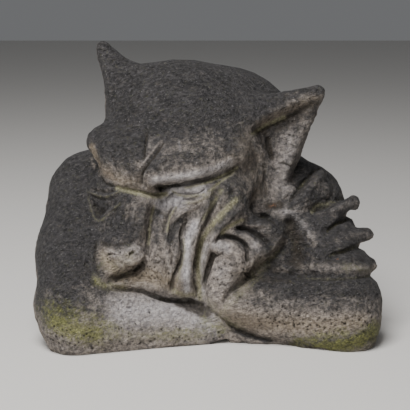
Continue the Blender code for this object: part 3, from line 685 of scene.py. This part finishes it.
# The plain back and underside need far fewer faces than the carved front, with a wide and
# gradual change between them so that the outline stays round.
PLAIN_ROUNDS = 30
plain = statue.vertex_groups.new(name="plain")
plainness = np.round(np.clip(1.4 - 3 * eased(shown, PLAIN_ROUNDS), 0.1, 1.0), 1)
for level in np.unique(plainness):
    plain.add(np.flatnonzero(plainness == level).tolist(), float(level), "REPLACE")
for _ in range(3):
    triangles = sum(len(face.vertices) - 2 for face in statue.data.polygons)
    if triangles > MOST_TRIANGLES:
        baked(statue, "DECIMATE", ratio=MOST_TRIANGLES / triangles, use_collapse_triangulate=True,
              vertex_group="plain", vertex_group_factor=0.5)
# The thinning can leave a point a hair outside the box, so the box is kept once more.
places = np.clip(numbers(statue.data.vertices, "co", 3), low, high)
statue.data.vertices.foreach_set("co", places.astype(np.float32).ravel())
statue.data.shade_smooth()


# The finish is the cement's own grey, under what the years have laid over it and under painted light and
# shade. One group of nodes makes the speckled mask of every layer, another the marks of the modeller's
# comb.
def new_group(name, inputs, outputs):
    """An empty group of nodes with its sockets, and its two end nodes."""
    group = bpy.data.node_groups.new(name, "ShaderNodeTree")
    for label, kind, value in inputs:
        socket = group.interface.new_socket(label, in_out="INPUT", socket_type=kind)
        socket.default_value = value
    for label, kind in outputs:
        group.interface.new_socket(label, in_out="OUTPUT", socket_type=kind)
    return group, group.nodes.new("NodeGroupInput"), group.nodes.new("NodeGroupOutput")


def added(tree, kind, settings=None, **values):
    """A node with some settings and inputs given. The name _2 is the input with that number."""
    node = tree.nodes.new(kind)
    for name, value in (settings or {}).items():
        setattr(node, name, value)
    for name, value in values.items():
        socket = node.inputs[int(name[1:]) if name[1:].isdigit() else name.replace("_", " ")]
        if isinstance(value, bpy.types.NodeSocket):
            tree.links.new(value, socket)
        else:
            socket.default_value = value
    return node


patch_group, given, made = new_group(
    "patch_mask",
    [("Strength", "NodeSocketFloat", 1.0), ("Scale", "NodeSocketFloat", 200.0),
     ("Spread", "NodeSocketFloat", 2.0), ("Edge", "NodeSocketFloat", 0.3)],
    [("Mask", "NodeSocketFloat")],
)
place = added(patch_group, "ShaderNodeTexCoord")
grain = added(patch_group, "ShaderNodeTexNoise", Vector=place.outputs["Object"],
              Scale=given.outputs["Scale"], Detail=6.0, Roughness=0.7)
middle = added(patch_group, "ShaderNodeMath", {"operation": "SUBTRACT"}, _0=grain.outputs["Fac"], _1=0.5)
grown = added(patch_group, "ShaderNodeMath", {"operation": "MULTIPLY_ADD"}, _0=middle.outputs["Value"],
              _1=given.outputs["Spread"], _2=given.outputs["Strength"])
begin = added(patch_group, "ShaderNodeMath", {"operation": "SUBTRACT"}, _0=0.5, _1=given.outputs["Edge"])
end = added(patch_group, "ShaderNodeMath", {"operation": "ADD"}, _0=0.5, _1=given.outputs["Edge"])
edge = added(patch_group, "ShaderNodeMapRange", {"interpolation_type": "SMOOTHSTEP"},
             Value=grown.outputs["Value"], From_Min=begin.outputs["Value"],
             From_Max=end.outputs["Value"])
patch_group.links.new(edge.outputs["Result"], made.inputs["Mask"])

comb, given, made = new_group(
    "comb_marks",
    [("Turn", "NodeSocketVector", (0.0, 0.0, 0.0)), ("Scale", "NodeSocketFloat", 420.0)],
    [("Height", "NodeSocketFloat")],
)
place = added(comb, "ShaderNodeTexCoord")
turned = added(comb, "ShaderNodeMapping", {"vector_type": "TEXTURE"}, Vector=place.outputs["Object"],
               Rotation=given.outputs["Turn"], Scale=(3.2, 1.0, 1.0))
marks = added(comb, "ShaderNodeTexNoise", Vector=turned.outputs["Vector"], Scale=given.outputs["Scale"],
              Detail=3.0, Roughness=0.6, Distortion=0.8)
comb.links.new(marks.outputs["Fac"], made.inputs["Height"])

# Each finish has its dark tone and its light tone.
STONE_TONES = ((0.145, 0.126, 0.116), (0.45, 0.388, 0.336))
OCHRE_TONES = ((0.13, 0.09, 0.05), (0.38, 0.30, 0.19))
LIME_AND_HIGHLIGHT_TONES = ((0.25, 0.235, 0.25), (0.72, 0.68, 0.68))
SOOT_TONES = ((0.0105, 0.0100, 0.0112), (0.040, 0.0375, 0.039))
DIRT_AND_SHADE_TONES = ((0.014, 0.011, 0.007), (0.058, 0.045, 0.034))
LICHEN_TONES = ((0.20, 0.185, 0.09), (0.52, 0.49, 0.32))
MOSS_TONES = ((0.070, 0.075, 0.018), (0.31, 0.31, 0.095))
RUST_TONES = ((0.07, 0.025, 0.01), (0.50, 0.22, 0.10))
SOOT_FLECK = (0.09, 0.086, 0.088)
SOOT_WORN = (0.075, 0.071, 0.074)
SOOT_THICK = (0.006, 0.0057, 0.0065)
CREASE_DIRT_AND_SHADE = (0.028, 0.024, 0.018)
WORN_CREST = (0.38, 0.35, 0.325)
PALE_SAND_AND_GLINT = (0.5, 0.49, 0.47)
SAND_DARK = (0.012, 0.011, 0.010)
PIT_SHADE = (0.008, 0.007, 0.006)
COMB_SCALE = 330.0
COMB_ACROSS = (0.0, math.radians(-20), 0.0)
COMB_DOWN = (0.0, math.radians(-80), 0.0)
RELIEF = 0.0048
cement = bpy.data.materials.new("weathered_cement")
cement.use_nodes = True
tree = cement.node_tree
shader = tree.nodes["Principled BSDF"]
place = added(tree, "ShaderNodeTexCoord")


def layer_amount(name):
    """How much of one layer the skin carries; layers are stains, growths, painted light and painted shade.
    """
    return added(tree, "ShaderNodeAttribute", {"attribute_name": name}).outputs["Fac"]


def sums(operation, first, second, third=0.0):
    """One step of arithmetic on masks and values."""
    reckoned = added(tree, "ShaderNodeMath", {"operation": operation}, _0=first, _1=second, _2=third)
    return reckoned.outputs["Value"]


def mask(strength, scale, spread, edge):
    """The speckled patches in which a layer of this strength covers the skin."""
    patches = added(tree, "ShaderNodeGroup", {"node_tree": patch_group}, Strength=strength, Scale=scale,
                    Spread=spread, Edge=edge)
    return patches.outputs["Mask"]


def comb_run(turn):
    """The marks of the comb in one direction."""
    run = added(tree, "ShaderNodeGroup", {"node_tree": comb}, Turn=turn, Scale=COMB_SCALE)
    return run.outputs["Height"]


def speckle(scale, low, high, detail=5.0):
    """Specks so many to the metre, from 0 at the low value of the noise to 1 at the high one."""
    spots = added(tree, "ShaderNodeTexNoise", Vector=place.outputs["Object"], Scale=scale,
                  Detail=detail, Roughness=0.7)
    specks = added(tree, "ShaderNodeMapRange", Value=spots.outputs["Fac"], From_Min=low, From_Max=high)
    return specks.outputs["Result"]


def over(below, share, colour, blend="MIX"):
    """Lays a colour over what is there."""
    colour = colour if isinstance(colour, bpy.types.NodeSocket) else (*colour, 1.0)
    below = below if isinstance(below, bpy.types.NodeSocket) else (*below, 1.0)
    mixed = added(tree, "ShaderNodeMix", {"data_type": "RGBA", "blend_type": blend}, Factor=share,
                  _6=below, _7=colour)
    return mixed.outputs[2]


def two_tones(scale, tones, low=0.35, high=0.65):
    """A finish speckled in its dark and its light tone."""
    dark, light = tones
    return over(dark, speckle(scale, low, high), light)


def covered(below, share, where, colour):
    """Lays a colour over a share of what is there, in the places that a mask gives."""
    return over(below, sums("MULTIPLY", where, share), colour)


# The marks of the comb run across the arms and brows and down the face.
marks = added(tree, "ShaderNodeMix", {"data_type": "FLOAT"}, Factor=layer_amount("downward"),
              _2=comb_run(COMB_ACROSS), _3=comb_run(COMB_DOWN)).outputs[0]
uneven = sums("MULTIPLY_ADD", speckle(16.0, 0.35, 0.65), 0.7, 0.5)
streaks = sums("MULTIPLY", sums("SUBTRACT", marks, 0.5), uneven)

# The bare cement, then its tints of earth and lime, and with the lime the painted highlights.
colour = two_tones(240.0, STONE_TONES, 0.40, 0.60)
colour = covered(colour, 0.7, layer_amount("ochre"), two_tones(300.0, OCHRE_TONES))
colour = covered(colour, 0.85, layer_amount("lime_and_highlights"), two_tones(200.0, LIME_AND_HIGHLIGHT_TONES))

# The charcoal film, worn and thick by turns. Its mask also carries painted highlights and sheen where it
# is thinned, and painted shade where it is made full.
soot_and_light_mask = mask(sums("MULTIPLY_ADD", streaks, 1.2, layer_amount("soot_and_light")), 110.0, 1.3, 0.42)
film = covered(two_tones(50.0, SOOT_TONES, 0.3, 0.7), 0.5, speckle(700.0, 0.5, 0.75), SOOT_FLECK)
film = covered(film, 0.6, speckle(260.0, 0.48, 0.62), SOOT_WORN)
film = covered(film, 0.7, speckle(240.0, 0.50, 0.38), SOOT_THICK)
colour = covered(colour, 0.97, soot_and_light_mask, film)

# Painted shade, with some dirt, in the hollows and creases, and pale worn crests where the film is thin.
colour = covered(colour, 0.86, mask(layer_amount("dirt_and_shade"), 120.0, 1.6, 0.4), two_tones(200.0, DIRT_AND_SHADE_TONES))
# Painted shade with some dirt darkens the skin by how far it lies in a hollow.
colour = covered(colour, 0.6, layer_amount("crease"), CREASE_DIRT_AND_SHADE)
worn = sums("MULTIPLY_ADD", soot_and_light_mask, -0.27, 0.34)
colour = covered(colour, worn, layer_amount("crest"), WORN_CREST)

# What grows on top, the streaks with their painted shade, the grains of sand, which also stand in as
# painted glints, and the painted shade in the pits.
colour = covered(colour, 0.66, mask(layer_amount("lichen"), 220.0, 1.5, 0.45), two_tones(500.0, LICHEN_TONES))
colour = covered(colour, 0.76, mask(layer_amount("moss"), 230.0, 1.8, 0.4), two_tones(420.0, MOSS_TONES))
colour = covered(colour, 0.8, mask(layer_amount("rust"), 500.0, 1.0, 0.3), two_tones(500.0, RUST_TONES))
WHITE = (1.0, 1.0, 1.0)
streak_shade = over(WHITE, 1.0, sums("MULTIPLY_ADD", streaks, 2.8, 1.0))
colour = over(colour, 0.85, streak_shade, "MULTIPLY")
colour = covered(colour, 0.55, speckle(520.0, 0.66, 0.72, 3.0), PALE_SAND_AND_GLINT)
colour = covered(colour, 0.7, speckle(460.0, 0.37, 0.30, 3.0), SAND_DARK)
colour = covered(colour, 0.95, layer_amount("pitted"), PIT_SHADE)
tree.links.new(colour, shader.inputs["Base Color"])

# The film is a little glossier than the bare cement, and the comb marks catch the light.
gloss = sums("MULTIPLY_ADD", soot_and_light_mask, -0.3, 0.78)
rough = sums("MULTIPLY_ADD", speckle(300.0, 0.3, 0.7), 0.12, gloss)
tree.links.new(rough, shader.inputs["Roughness"])
shader.inputs["Specular IOR Level"].default_value = 0.3
coarse = added(tree, "ShaderNodeTexNoise", Vector=place.outputs["Object"], Scale=260.0,
               Detail=6.0, Roughness=0.7)
relief = sums("MULTIPLY_ADD", streaks, 1.1, coarse.outputs["Fac"])
bump = added(tree, "ShaderNodeBump", Strength=1.0, Distance=RELIEF, Height=relief)
tree.links.new(bump.outputs["Normal"], shader.inputs["Normal"])
statue.data.materials.clear()
statue.data.materials.append(cement)
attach(statue, "root")
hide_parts("gargoyle_statue")

# The studio
# A plain pale floor that runs back out of sight, a large soft light above and to the left,
# a weaker one from the front, and even light from all round.
FLOOR_REACH = 6.0
FLOOR_PAINT = (0.62, 0.60, 0.57, 1.0)
AIR_LIGHT = (0.95, 0.97, 1.0, 1.0)
AIR_STRENGTH = 0.16
FILM_WIDTH = 36.0
floor_mesh = bpy.data.meshes.new("floor")
ground = bmesh.new()
bmesh.ops.create_grid(ground, x_segments=1, y_segments=1, size=FLOOR_REACH)
ground.to_mesh(floor_mesh)
ground.free()
floor = bpy.data.objects.new("floor", floor_mesh)
bpy.context.scene.collection.objects.link(floor)
paint = bpy.data.materials.new("pale_floor")
paint.use_nodes = True
paint.node_tree.nodes["Principled BSDF"].inputs["Base Color"].default_value = FLOOR_PAINT
paint.node_tree.nodes["Principled BSDF"].inputs["Roughness"].default_value = 0.8
floor_mesh.materials.append(paint)


def soft_light(name, place, size, power):
    """A square soft light that looks at the middle of the figure."""
    lamp = bpy.data.lights.new(name, "AREA")
    lamp.size = size
    lamp.energy = power
    light = bpy.data.objects.new(name, lamp)
    bpy.context.scene.collection.objects.link(light)
    light.location = place
    light.rotation_euler = (Vector((0, 0, 0.15)) - Vector(place)).to_track_quat("-Z", "Y").to_euler()


soft_light("sky_light", (-0.4, -0.75, 1.9), 1.0, 58)
soft_light("front_light", (-0.9, -2.1, 0.8), 1.2, 21)
world = bpy.data.worlds.new("studio")
bpy.context.scene.world = world
world.use_nodes = True
world.node_tree.nodes["Background"].inputs["Color"].default_value = AIR_LIGHT
world.node_tree.nodes["Background"].inputs["Strength"].default_value = AIR_STRENGTH

camera = bpy.data.cameras.new("view")
camera.sensor_width = FILM_WIDTH
camera.lens = FILM_WIDTH * SHEET_AWAY / SHEET_SIDE
view = bpy.data.objects.new("view", camera)
bpy.context.scene.collection.objects.link(view)
view.location = STATION
view.rotation_euler = (math.radians(90) - SIGHT_TILT, 0.0, 0.0)
bpy.context.scene.camera = view
